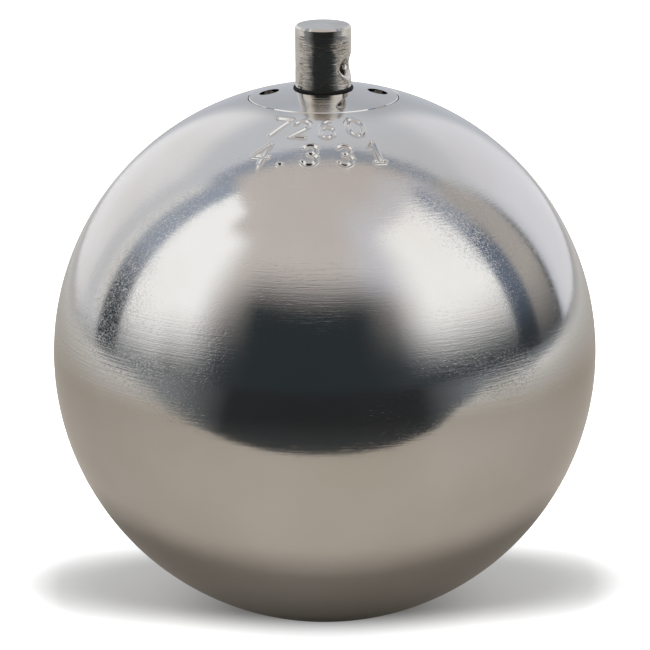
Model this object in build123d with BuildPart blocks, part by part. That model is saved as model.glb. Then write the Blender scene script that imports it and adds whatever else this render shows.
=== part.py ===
from build123d import *

import math
import os

# Head of a throwing hammer: a lead-filled stainless steel ball with a ball-bearing swivel.
# The wire of the hammer is looped through the cross hole of the spindle on top.
# Lengths are in millimetres and angles in degrees. +Z runs up the spindle, and the origin is the
# lowest point of the ball, where it touches the ground. Every height is measured from there.

# Ball
ball_dia = 110.0
shell_wall = 5.5
cast_gap = 0.1  # left round the lead when it shrinks in the shell

# Weld and register of the two half shells, at the equator
weld_root_face = 1.0  # left unwelded, between the lip and the root of the weld
weld_half_width = 2.0  # along Z, at the surface of the ball
lip_height = 2.5  # of the lower shell's register lip
lip_wall = 2.0
lip_gap = 0.05

# Bearing, a deep-groove ball bearing of 12 x 28 x 8 mm
bearing_bore = 12.0
bearing_dia = 28.0
bearing_width = 8.0
bearing_ball_dia = 4.762
bearing_ball_count = 8
race_conformity = 0.52  # groove radius over ball diameter
race_gap = 0.04  # between a ball and each groove
shoulder_share = 0.315  # of the ball diameter, from the pitch circle to each ring's shoulder
ring_chamfer = 0.3
fit_gap = 0.02  # radial, between a ring and its seat

# Shields of the bearing, snapped into the outer ring
shield_sheet = 0.35
shield_depth = 0.5  # from the bearing's face to the shield
shield_inner_gap = 0.3  # radial, to the inner ring
shield_step = 0.5  # radial, cut back from the outer ring's shoulder
shield_groove_depth = 0.5  # into the step
shield_gap = 0.04

# Ribbon cage of the bearing
cage_sheet = 0.45
cage_side_gap = 0.4  # to the shoulder of each ring
cage_pocket_gap = 0.05
cage_shield_gap = 0.1  # least gap from the cups to the shields
rivet_cup_gap = 0.27  # between a rivet's head and the cups beside it
rivet_shank_share = 0.6  # of the head's diameter
rivet_head_height = 0.3
rivet_head_bevel = 0.15

# Cap, screwed into the ball over the bearing
cap_overhang = 1.0  # radial, past the bearing
cap_gap = 0.12  # radial, to the mouth of the ball
cap_rim_height = 6.5
cap_edge_chamfer = 0.15
clamp_gap = 0.3  # the bearing stands proud of the step under the cap by this much
recess_gap = 0.3  # above the spindle's bearing seat
spanner_hole_dia = 4.0
spanner_hole_rim = 2.15  # of steel between a hole and the cap's edge
spanner_hole_floor = 0.8  # of steel under a hole's drill point
drill_point_angle = 118.0

# Dust seal in the bore of the cap
seal_gap = 0.05  # to the spindle and to the cap
seal_lip_wall = 0.325
seal_body_wall = 1.5
seal_body_height = 1.6
seal_body_drop = 3.4  # from the top of the bore to the bottom of the seal's groove
seal_lip_proud = 0.45  # above the top of the bore
seal_lip_bevel = 0.15

# Spindle
stud_relief = 0.375  # radial, below the bearing seat
stud_height = 12.6  # above the top of the ball
stud_chamfer = 0.4
flange_overhang = 0.2  # radial, past the inner ring's shoulder
flange_height = 5.0
flange_chamfer = 0.6
flange_fillet = 0.2
seat_land = 0.8  # of the bearing seat, above the retaining ring
seat_land_chamfer = 0.25
wire_hole_dia = 3.6
wire_hole_mouth_radius = 1.3  # on the side where the wire's loop has been pulled
wire_hole_far_radius = 0.4  # on the other side
wire_hole_height = 4.4  # above the top of the ball
wire_hole_turn = -18.0  # of the hole from X, as the spindle happens to stand

# Support washer and retaining ring, which hold the bearing on the spindle
support_washer_thickness = 0.5
clip_thickness = 1.0
clip_groove_depth = 0.25
clip_groove_play = 0.1
clip_back_width = 1.8
clip_end_width = 1.2
clip_lug_reach = 3.2
clip_lug_radius = 1.45
clip_lug_hole_dia = 1.5
clip_lug_angle = 21.0
clip_opening = 2.4

# Pocket under the bearing and boss of the upper shell
seat_width = 2.3  # of the ledge under the outer ring
pocket_play = 1.5  # below the spindle's flange
boss_wall = 6.0  # round the bearing
boss_fillet = 4.0

# Filling hole in the end of the boss, with its plug and sealing washer
filling_hole_dia = 11.0
filling_hole_length = 2.5
sprue_drop = 0.6  # of the lead's top below the sealing washer
plug_dia = 16.0
plug_length = 8.0
plug_gap = 0.05
plug_chamfer = 0.8
plug_socket_flats = 8.0
plug_socket_depth = 5.0
plug_sink = 0.2  # of the plug's top below the pocket's floor
plug_washer_thickness = 1.0
plug_washer_bore = 11.4

ball_radius = ball_dia / 2


def radius_at(sphere_radius, height):
    """Distance from the axis of a point on a sphere about the ball's centre, at a height."""
    return math.sqrt(sphere_radius**2 - (height - ball_radius) ** 2)


def height_at(sphere_radius, radius):
    """Height of a point on the upper half of a sphere about the ball's centre."""
    return ball_radius + math.sqrt(sphere_radius**2 - radius**2)


def rings_of(builder, radius):
    """Round edges of one radius, from the lowest to the highest."""
    circles = builder.edges().filter_by(GeomType.CIRCLE)
    return circles.filter_by(lambda edge: abs(edge.radius - radius) < 1e-4).sort_by(Axis.Z)


def top_ring(builder, radius):
    """The highest round edge of one radius."""
    return rings_of(builder, radius)[-1]


def bottom_ring(builder, radius):
    """The lowest round edge of one radius."""
    return rings_of(builder, radius)[0]


# Diameters and radii worked out from the sizes above
inner_radius = ball_radius - shell_wall
lip_radius = inner_radius + lip_wall
weld_root_radius = lip_radius + lip_gap + weld_root_face
bearing_ball_radius = bearing_ball_dia / 2
pitch_radius = (bearing_bore + bearing_dia) / 4
race_radius = race_conformity * bearing_ball_dia
race_shift = race_radius - bearing_ball_radius - race_gap  # of a groove's centre, past the balls'
inner_shoulder_radius = pitch_radius - shoulder_share * bearing_ball_dia
outer_shoulder_radius = pitch_radius + shoulder_share * bearing_ball_dia
shield_step_radius = outer_shoulder_radius + shield_step
shield_edge_radius = shield_step_radius + shield_groove_depth
seat_radius = bearing_dia / 2 + fit_gap
pocket_radius = bearing_dia / 2 - seat_width
boss_radius = bearing_dia / 2 + boss_wall
cap_radius = bearing_dia / 2 + cap_overhang
mouth_radius = cap_radius + cap_gap
land_radius = bearing_bore / 2
stud_radius = land_radius - stud_relief
clip_groove_radius = land_radius - clip_groove_depth
lug_tip_radius = clip_groove_radius + clip_lug_reach
recess_radius = (lug_tip_radius + bearing_dia / 2) / 2
flange_radius = inner_shoulder_radius + flange_overhang
cap_bore_radius = stud_radius + seal_lip_wall + 2 * seal_gap
seal_groove_radius = cap_bore_radius + seal_body_wall
spanner_pitch_radius = cap_radius - spanner_hole_rim - spanner_hole_dia / 2
plug_radius = plug_dia / 2 - plug_gap

# Heights worked out from the sizes above, from the top down
top_of_ball = ball_dia
top_of_stud = top_of_ball + stud_height
wire_hole_axis_height = top_of_ball + wire_hole_height
cap_bore_top = height_at(ball_radius, cap_bore_radius)
spanner_hole_mouth = height_at(ball_radius, spanner_pitch_radius)
cap_bottom = height_at(ball_radius, cap_radius) - cap_rim_height
bearing_top = cap_bottom
bearing_middle = bearing_top - bearing_width / 2
bearing_bottom = bearing_top - bearing_width
flange_bottom = bearing_bottom - flange_height
pocket_floor = flange_bottom - pocket_play
plug_top = pocket_floor - plug_sink
plug_bottom = plug_top - plug_length
plug_seat = plug_bottom - plug_washer_thickness
boss_bottom = plug_seat - filling_hole_length
lip_top = ball_radius + lip_height
clip_bottom = bearing_top + support_washer_thickness
clip_groove_top = clip_bottom + clip_thickness + clip_groove_play
seat_top = clip_groove_top + seat_land
recess_top = seat_top + recess_gap
bearing_plane = Plane.XY.offset(bearing_middle)

# The weld's V runs from its root to these two points on the surface of the ball.
weld_root = (weld_root_radius, ball_radius)
weld_upper = (
    radius_at(ball_radius, ball_radius + weld_half_width),
    ball_radius + weld_half_width,
)
weld_lower = (weld_upper[0], ball_radius - weld_half_width)


# Upper half of the shell. Its boss reaches into the ball and holds the bearing, and the boss
# ends in the filling hole with the seat of its plug.
with BuildPart() as upper_shell:
    with BuildSketch(Plane.XZ):
        with BuildLine():
            mouth = (mouth_radius, height_at(ball_radius, mouth_radius))
            boss_root = (boss_radius, height_at(inner_radius, boss_radius))
            lip_seat = (radius_at(inner_radius, lip_top + lip_gap), lip_top + lip_gap)
            RadiusArc(weld_upper, mouth, -ball_radius)
            Polyline(
                mouth,
                (mouth_radius, bearing_top - clamp_gap),
                (seat_radius, bearing_top - clamp_gap),
                (seat_radius, bearing_bottom),
                (pocket_radius, bearing_bottom),
                (pocket_radius, pocket_floor),
                (plug_dia / 2, pocket_floor),
                (plug_dia / 2, plug_seat),
                (filling_hole_dia / 2, plug_seat),
                (filling_hole_dia / 2, boss_bottom),
                (boss_radius, boss_bottom),
                boss_root,
            )
            RadiusArc(boss_root, lip_seat, inner_radius)
            Polyline(
                lip_seat,
                (lip_radius + lip_gap, lip_top + lip_gap),
                (lip_radius + lip_gap, ball_radius),
                weld_root,
                weld_upper,
            )
        make_face()
    revolve(axis=Axis.Z)
    fillet(top_ring(upper_shell, boss_radius), boss_fillet)
    chamfer(top_ring(upper_shell, mouth_radius), cap_edge_chamfer)
upper_shell.part.label = "upper_shell"


# Lower half of the shell, with the register lip that centres the upper half for welding.
with BuildPart() as lower_shell:
    with BuildSketch(Plane.XZ):
        with BuildLine():
            lip_inside = (radius_at(inner_radius, lip_top), lip_top)
            RadiusArc((0, 0), weld_lower, -ball_radius)
            Polyline(
                weld_lower,
                weld_root,
                (lip_radius, ball_radius),
                (lip_radius, lip_top),
                lip_inside,
            )
            ThreePointArc(
                lip_inside,
                (radius_at(inner_radius, ball_radius / 2), ball_radius / 2),
                (0, shell_wall),
            )
            Line((0, shell_wall), (0, 0))
        make_face()
    revolve(axis=Axis.Z)
lower_shell.part.label = "lower_shell"


# Weld bead in the V between the halves, ground flush with the ball.
with BuildPart() as seam_weld:
    with BuildSketch(Plane.XZ):
        with BuildLine():
            RadiusArc(weld_lower, weld_upper, -ball_radius)
            Polyline(weld_upper, weld_root, weld_lower)
        make_face()
    revolve(axis=Axis.Z)
seam_weld.part.label = "seam_weld"


# Lead, cast through the filling hole into the shell and round the boss. Its sprue stays in
# the hole.
with BuildPart() as lead_core:
    with Locations((0, 0, ball_radius)):
        Sphere(inner_radius - cast_gap)
    with BuildSketch(Plane.XY.offset(boss_bottom - cast_gap)):
        Circle(boss_radius + cast_gap)
    extrude(amount=ball_dia, mode=Mode.SUBTRACT)
    fillet(top_ring(lead_core, boss_radius + cast_gap), boss_fillet - cast_gap)
    with BuildSketch(Plane.XY.offset(boss_bottom - cast_gap)):
        Circle(filling_hole_dia / 2 - cast_gap)
    extrude(amount=filling_hole_length + cast_gap - sprue_drop)
lead_core.part.label = "lead_core"


# Plug that closes the filling hole, under the spindle, with a hexagon socket, and the soft
# washer that it presses on its seat.
with BuildPart() as filler_plug:
    with BuildSketch(Plane.XY.offset(plug_bottom)):
        Circle(plug_radius)
    extrude(amount=plug_length)
    chamfer(filler_plug.edges().group_by(Axis.Z)[0], plug_chamfer)
    with BuildSketch(Plane.XY.offset(plug_top)):
        RegularPolygon(plug_socket_flats / 2, 6, major_radius=False)
    extrude(amount=-plug_socket_depth, mode=Mode.SUBTRACT)
filler_plug.part.label = "filler_plug"

with BuildPart() as plug_washer:
    with BuildSketch(Plane.XY.offset(plug_seat)):
        Circle(plug_radius)
        Circle(plug_washer_bore / 2, mode=Mode.SUBTRACT)
    extrude(amount=plug_washer_thickness)
plug_washer.part.label = "plug_washer"


# Inner ring of the bearing.
with BuildPart() as bearing_inner_ring:
    with BuildSketch(Plane.XZ) as ring_section:
        inner_wall = inner_shoulder_radius - land_radius - fit_gap
        with Locations((inner_shoulder_radius - inner_wall / 2, bearing_middle)):
            Rectangle(inner_wall, bearing_width)
        chamfer(ring_section.vertices().group_by(Axis.X)[0], ring_chamfer)
        with Locations((pitch_radius + race_shift, bearing_middle)):
            Circle(race_radius, mode=Mode.SUBTRACT)
    revolve(axis=Axis.Z)
bearing_inner_ring.part.label = "bearing_inner_ring"


# Outer ring of the bearing, stepped and grooved at each face for a shield.
shield_groove_height = shield_sheet + 2 * shield_gap
with BuildPart() as bearing_outer_ring:
    with BuildSketch(Plane.XZ) as ring_section:
        outer_wall = bearing_dia / 2 - outer_shoulder_radius
        with Locations((outer_shoulder_radius + outer_wall / 2, bearing_middle)):
            Rectangle(outer_wall, bearing_width)
        chamfer(ring_section.vertices().group_by(Axis.X)[-1], ring_chamfer)
        with Locations((pitch_radius - race_shift, bearing_middle)):
            Circle(race_radius, mode=Mode.SUBTRACT)
        step_depth = shield_depth + shield_sheet + shield_gap
        groove_depth = shield_depth + shield_sheet / 2
        for side in (1, -1):
            step_middle = bearing_middle + side * (bearing_width - step_depth) / 2
            groove_middle = bearing_middle + side * (bearing_width / 2 - groove_depth)
            with Locations((shield_step_radius / 2, step_middle)):
                Rectangle(shield_step_radius, step_depth, mode=Mode.SUBTRACT)
            with Locations((shield_edge_radius / 2, groove_middle)):
                Rectangle(shield_edge_radius, shield_groove_height, mode=Mode.SUBTRACT)
    revolve(axis=Axis.Z)
bearing_outer_ring.part.label = "bearing_outer_ring"


# The bearing's balls.
with BuildPart() as bearing_balls:
    with Locations((0, 0, bearing_middle)):
        with PolarLocations(pitch_radius, bearing_ball_count):
            Sphere(bearing_ball_radius)
bearing_balls.part.label = "bearing_balls"


# Ribbon cage: two pressed rings, flat between the balls and cupped round each of them.
ball_pocket_radius = bearing_ball_radius + cage_pocket_gap
cup_radius = ball_pocket_radius + cage_sheet
cage_half_width = outer_shoulder_radius - pitch_radius - cage_side_gap
cage_headroom = bearing_width / 2 - shield_depth - shield_sheet - cage_shield_gap
rivet_angle = 180.0 / bearing_ball_count  # from a ball to the rivet beside it
ball_to_rivet = 2 * pitch_radius * math.sin(math.radians(rivet_angle / 2))
rivet_head_radius = ball_to_rivet - cup_radius - rivet_cup_gap
rivet_shank_radius = rivet_shank_share * rivet_head_radius
seam_inwards = (0, 90, 0)  # turns a sphere's own axis to point at the spindle
with BuildPart() as cage_upper:
    with BuildSketch(bearing_plane) as cage_band:
        Circle(pitch_radius + cage_half_width)
        Circle(pitch_radius - cage_half_width, mode=Mode.SUBTRACT)
    extrude(amount=cage_sheet)
    with Locations((0, 0, bearing_middle)):
        with PolarLocations(pitch_radius, bearing_ball_count):
            Sphere(cup_radius, rotation=seam_inwards)
        with PolarLocations(pitch_radius, bearing_ball_count):
            Sphere(ball_pocket_radius, rotation=seam_inwards, mode=Mode.SUBTRACT)
    extrude(cage_band.sketch, amount=cage_headroom, mode=Mode.INTERSECT)
    with Locations((0, 0, bearing_middle)):
        with PolarLocations(pitch_radius, bearing_ball_count, start_angle=rivet_angle):
            Cylinder(rivet_shank_radius, 4 * cage_sheet, mode=Mode.SUBTRACT)
cage_upper.part.label = "cage_upper"

with BuildPart() as cage_lower:
    mirror(cage_upper.part, about=bearing_plane)
cage_lower.part.label = "cage_lower"


# Rivets that join the two halves of the cage, one between each pair of balls.
with BuildPart() as rivet:
    rivet_half_length = cage_sheet + rivet_head_height
    Cylinder(rivet_head_radius, 2 * rivet_half_length)
    chamfer(rings_of(rivet, rivet_head_radius), rivet_head_bevel)
    with BuildSketch(Plane.XY):
        Circle(rivet_head_radius)
        Circle(rivet_shank_radius, mode=Mode.SUBTRACT)
    extrude(amount=cage_sheet, both=True, mode=Mode.SUBTRACT)
with BuildPart() as cage_rivets:
    with Locations((0, 0, bearing_middle)):
        with PolarLocations(pitch_radius, bearing_ball_count, start_angle=rivet_angle):
            add(rivet.part)
cage_rivets.part.label = "cage_rivets"


# Shields, pressed steel washers that keep dirt out of the balls.
with BuildPart() as upper_shield:
    with BuildSketch(Plane.XY.offset(bearing_top - shield_depth)):
        Circle(shield_edge_radius - shield_gap)
        Circle(inner_shoulder_radius + shield_inner_gap, mode=Mode.SUBTRACT)
    extrude(amount=-shield_sheet)
upper_shield.part.label = "upper_shield"

with BuildPart() as lower_shield:
    mirror(upper_shield.part, about=bearing_plane)
lower_shield.part.label = "lower_shield"


# Cap: a domed ring, flush with the ball, that screws down on the outer ring. Its underside is
# recessed round the retaining ring, and two blind holes in its face take a pin spanner.
with BuildPart() as bearing_cap:
    with BuildSketch(Plane.XY.offset(cap_bottom)):
        Circle(cap_radius)
    extrude(amount=ball_dia - cap_bottom)
    with Locations((0, 0, ball_radius)):
        Sphere(ball_radius, mode=Mode.INTERSECT)
    chamfer(top_ring(bearing_cap, cap_radius), cap_edge_chamfer)
    with BuildSketch(Plane.XY.offset(cap_bottom)):
        Circle(recess_radius)
    extrude(amount=recess_top - cap_bottom, mode=Mode.SUBTRACT)
    with BuildSketch(Plane.XY.offset(cap_bottom)):
        Circle(cap_bore_radius)
    extrude(amount=ball_dia, mode=Mode.SUBTRACT)
    with BuildSketch(Plane.XY.offset(cap_bore_top - seal_body_drop)):
        Circle(seal_groove_radius)
    extrude(amount=seal_body_height, mode=Mode.SUBTRACT)
    drill_point = spanner_hole_dia / 2 / math.tan(math.radians(drill_point_angle / 2))
    spanner_hole_bottom = recess_top + spanner_hole_floor + drill_point
    with PolarLocations(spanner_pitch_radius, 2):
        with Locations((0, 0, spanner_hole_bottom)):
            Cylinder(
                spanner_hole_dia / 2,
                2 * (spanner_hole_mouth - spanner_hole_bottom),
                align=(Align.CENTER, Align.CENTER, Align.MIN),
                mode=Mode.SUBTRACT,
            )
            Cone(
                0,
                spanner_hole_dia / 2,
                drill_point,
                align=(Align.CENTER, Align.CENTER, Align.MAX),
                mode=Mode.SUBTRACT,
            )
bearing_cap.part.label = "bearing_cap"


# Dust seal: a rubber ring held in the cap's groove, with a thin lip that stands up round the
# spindle and shows as a dark line at its foot.
with BuildPart() as dust_seal:
    with BuildSketch(Plane.XZ):
        seal_inside = stud_radius + seal_gap
        lip_outside = seal_inside + seal_lip_wall
        body_outside = seal_groove_radius - seal_gap
        seal_bottom = cap_bore_top - seal_body_drop + seal_gap
        body_top = cap_bore_top - seal_body_drop + seal_body_height - seal_gap
        seal_lip_top = cap_bore_top + seal_lip_proud
        with BuildLine():
            Polyline(
                (seal_inside, seal_bottom),
                (body_outside, seal_bottom),
                (body_outside, body_top),
                (lip_outside, body_top),
                (lip_outside, seal_lip_top - seal_lip_bevel),
                (lip_outside - seal_lip_bevel, seal_lip_top),
                (seal_inside, seal_lip_top),
                close=True,
            )
        make_face()
    revolve(axis=Axis.Z)
dust_seal.part.label = "dust_seal"


# Spindle: a flange that pulls up on the inner ring, the bearing seat with its ring groove, and
# the stud above the ball with the cross hole for the wire.
with BuildPart() as swivel_spindle:
    with BuildSketch(Plane.XZ):
        with BuildLine():
            Polyline(
                (0, flange_bottom),
                (flange_radius, flange_bottom),
                (flange_radius, bearing_bottom),
                (land_radius, bearing_bottom),
                (land_radius, clip_bottom),
                (clip_groove_radius, clip_bottom),
                (clip_groove_radius, clip_groove_top),
                (land_radius, clip_groove_top),
                (land_radius, seat_top),
                (stud_radius, seat_top),
                (stud_radius, top_of_stud),
                (0, top_of_stud),
                close=True,
            )
        make_face()
    revolve(axis=Axis.Z)
    chamfer(top_ring(swivel_spindle, stud_radius), stud_chamfer)
    chamfer(top_ring(swivel_spindle, land_radius), seat_land_chamfer)
    chamfer(bottom_ring(swivel_spindle, flange_radius), flange_chamfer)
    fillet(bottom_ring(swivel_spindle, land_radius), flange_fillet)
    turn = math.radians(wire_hole_turn)
    hole_plane = Plane(
        origin=(0, 0, wire_hole_axis_height),
        x_dir=(0, 0, 1),
        z_dir=(math.cos(turn), math.sin(turn), 0),
    )
    for side, mouth_radius in ((1, wire_hole_mouth_radius), (-1, wire_hole_far_radius)):
        with BuildSketch(hole_plane):
            Circle(wire_hole_dia / 2)
        extrude(amount=side * 2 * stud_radius, mode=Mode.SUBTRACT)
        curved = swivel_spindle.edges(Select.LAST).filter_by(GeomType.LINE, reverse=True)
        outwards = Axis(hole_plane.origin, side * hole_plane.z_dir)
        mouth = curved.filter_by_position(outwards, stud_radius / 2, 2 * stud_radius)
        fillet(mouth, mouth_radius)
swivel_spindle.part.label = "swivel_spindle"


# Support washer between the inner ring and the retaining ring.
with BuildPart() as support_washer:
    with BuildSketch(Plane.XY.offset(bearing_top)):
        Circle(inner_shoulder_radius)
        Circle(land_radius + fit_gap, mode=Mode.SUBTRACT)
    extrude(amount=support_washer_thickness)
support_washer.part.label = "support_washer"


# Retaining ring: a sprung ring with two eyed lugs, in the groove above the inner ring.
with BuildPart() as retaining_ring:
    with BuildSketch(Plane.XY.offset(clip_bottom)):
        ring_radius = clip_groove_radius + (clip_back_width + clip_end_width) / 2
        ring_shift = (clip_back_width - clip_end_width) / 2
        lug_middle = lug_tip_radius - clip_lug_radius
        with Locations((-ring_shift, 0)):
            Circle(ring_radius)
        for side in (1, -1):
            with PolarLocations(lug_middle, 1, start_angle=side * clip_lug_angle):
                Circle(clip_lug_radius)
        Circle(clip_groove_radius, mode=Mode.SUBTRACT)
        with Locations((clip_groove_radius + clip_lug_reach / 2, 0)):
            Rectangle(2 * clip_lug_reach, clip_opening, mode=Mode.SUBTRACT)
        for side in (1, -1):
            with PolarLocations(lug_middle, 1, start_angle=side * clip_lug_angle):
                Circle(clip_lug_hole_dia / 2, mode=Mode.SUBTRACT)
    extrude(amount=clip_thickness)
retaining_ring.part.label = "retaining_ring"


pieces = [
    upper_shell,
    lower_shell,
    seam_weld,
    lead_core,
    filler_plug,
    plug_washer,
    bearing_outer_ring,
    bearing_inner_ring,
    bearing_balls,
    cage_upper,
    cage_lower,
    cage_rivets,
    upper_shield,
    lower_shield,
    bearing_cap,
    dust_seal,
    swivel_spindle,
    support_washer,
    retaining_ring,
]
os.makedirs("parts", exist_ok=True)
for piece in pieces:
    solids = piece.part.solids()
    volume = round(piece.part.volume, 2)
    export_step(piece.part, f"parts/{piece.part.label}.step")
    print(piece.part.label, "solids", len(solids), "volume", volume, "mm3")
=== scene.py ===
import logging
import math
import random
from collections.abc import Iterable, Sequence
from dataclasses import dataclass, field, replace
from enum import Enum

import bmesh
import bpy
import numpy as np
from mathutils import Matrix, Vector


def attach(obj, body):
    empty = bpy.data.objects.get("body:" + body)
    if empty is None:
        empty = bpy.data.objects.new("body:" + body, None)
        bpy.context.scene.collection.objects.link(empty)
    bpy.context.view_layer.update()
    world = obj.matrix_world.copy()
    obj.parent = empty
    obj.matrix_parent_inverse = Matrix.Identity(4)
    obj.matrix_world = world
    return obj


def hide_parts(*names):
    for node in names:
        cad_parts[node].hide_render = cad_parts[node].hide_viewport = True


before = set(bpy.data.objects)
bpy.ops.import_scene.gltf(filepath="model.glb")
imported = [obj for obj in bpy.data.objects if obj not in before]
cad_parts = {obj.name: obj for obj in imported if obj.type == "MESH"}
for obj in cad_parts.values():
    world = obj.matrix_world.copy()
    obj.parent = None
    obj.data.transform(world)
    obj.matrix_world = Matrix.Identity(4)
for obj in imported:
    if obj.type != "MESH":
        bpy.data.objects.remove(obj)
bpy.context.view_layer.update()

# Head of a throwing hammer: a polished stainless steel ball with a capped ball-bearing swivel.
# Sizes are in millimetres and turned to metres where a mesh is made. +Z runs up the spindle,
# the ball touches the floor at the origin, and the front of the ball faces -Y.

log = logging.getLogger("hammer_head")
MILLIMETRE = 0.001
FRONT = -90.0  # azimuth of the front of the ball, in degrees from +X

Point = tuple[float, float]
Colour = tuple[float, float, float, float]
Material = bpy.types.Material
Socket = bpy.types.NodeSocket
Thing = bpy.types.Object
Tree = bpy.types.NodeTree

# Levels of the noise texture, whose values lie mostly between .3 and .7. A pattern starts at
# the first and is full at the second.
STAIN_LEVELS = (0.4, 0.7)
PATCH_LEVELS = (0.42, 0.6)
ROUGH_LEVELS = (0.7, 1.3)  # of the noises of the rings and the grain together
SCRATCH_BOTTOM = 0.8

RING_SKEW = 0.7  # share of y added to x, so that a ring's marks differ on all its sides
UNWORN_DEPTH = 0.12  # share of their depth that marks keep above and below the worn heights
RUBBER_IOR = 1.52


def linear(hex_colour: str, level: float = 1.0) -> Colour:
    """Turns an sRGB hex colour into linear light.

    Args:
        hex_colour: Six hex digits after a #.
        level: Factor on the linear values.

    Returns:
        Red, green, blue and an alpha of 1.
    """
    channels = [int(hex_colour[i : i + 2], 16) / 255 for i in (1, 3, 5)]
    light = [c / 12.92 if c <= 0.04045 else ((c + 0.055) / 1.055) ** 2.4 for c in channels]
    return (light[0] * level, light[1] * level, light[2] * level, 1.0)


def add_node(
    tree: Tree,
    kind: str,
    inputs: dict[int | str, object] | None = None,
    **settings: object,
) -> bpy.types.Node:
    """Adds a node to a tree, with its settings, its constant inputs and its links.

    Args:
        tree: Tree that gets the node.
        kind: Node type, without its ShaderNode prefix.
        inputs: For each socket, a value or the output socket that feeds it.
        **settings: Properties of the node.

    Returns:
        The new node.
    """
    node = tree.nodes.new("ShaderNode" + kind)
    for name, value in settings.items():
        setattr(node, name, value)
    for socket, value in (inputs or {}).items():
        if isinstance(value, bpy.types.NodeSocket):
            tree.links.new(value, node.inputs[socket])
        else:
            node.inputs[socket].default_value = value
    return node


def empty_material(name: str) -> tuple[Material, Tree]:
    """Makes a material with no nodes.

    Args:
        name: Name of the material.

    Returns:
        The material and its tree.
    """
    material = bpy.data.materials.new(name)
    material.use_nodes = True
    material.node_tree.nodes.clear()
    return material, material.node_tree


@dataclass(frozen=True)
class Scratches:
    """A set of fine scratches that run one way.

    Attributes:
        turn: Euler angles of the lay, in degrees; at rest the scratches run along X.
        width: Spacing across them, in mm.
        length: Length along them, in mm.
        depth: Depth in mm.
        share: Share of the noise that is cut away, from 0 to 1; more leaves fewer scratches.
    """

    turn: tuple[float, float, float]
    width: float
    length: float
    depth: float
    share: float = 0.55

    def cut(self, tree: Tree, millimetres: Socket, height: Socket) -> Socket:
        """Cuts the scratches into a height.

        Args:
            tree: Tree of the material.
            millimetres: Place on the piece, in mm.
            height: Height so far, in mm.

        Returns:
            The height with the scratches cut into it, in mm.
        """
        lay = {"Vector": millimetres, "Rotation": [math.radians(a) for a in self.turn]}
        place = add_node(tree, "Mapping", lay).outputs[0]
        stretch = {0: place, 1: (1 / self.length, 1 / self.width, 1 / self.width)}
        place = add_node(tree, "VectorMath", stretch, operation="MULTIPLY").outputs[0]
        noise = add_node(tree, "TexNoise", {"Vector": place, "Scale": 1.0, "Detail": 2.0})
        groove = {"Value": noise.outputs[0], "From Min": self.share, "From Max": SCRATCH_BOTTOM}
        groove = add_node(tree, "MapRange", groove).outputs[0]
        deeper = {0: groove, 1: -self.depth, 2: height}
        return add_node(tree, "Math", deeper, operation="MULTIPLY_ADD").outputs[0]


@dataclass(frozen=True)
class Finish:
    """A real material and how its surface was made.

    Attributes:
        name: Common name of the material and how its surface was made.
    """

    name: str

    def material(self) -> Material:
        """Finds the node material of this finish, or builds it the first time.

        Returns:
            The material.
        """
        return bpy.data.materials.get(self.name) or self.build()

    def build(self) -> Material:
        """Builds the node material, which each kind of finish does in its own way."""
        raise NotImplementedError


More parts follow.
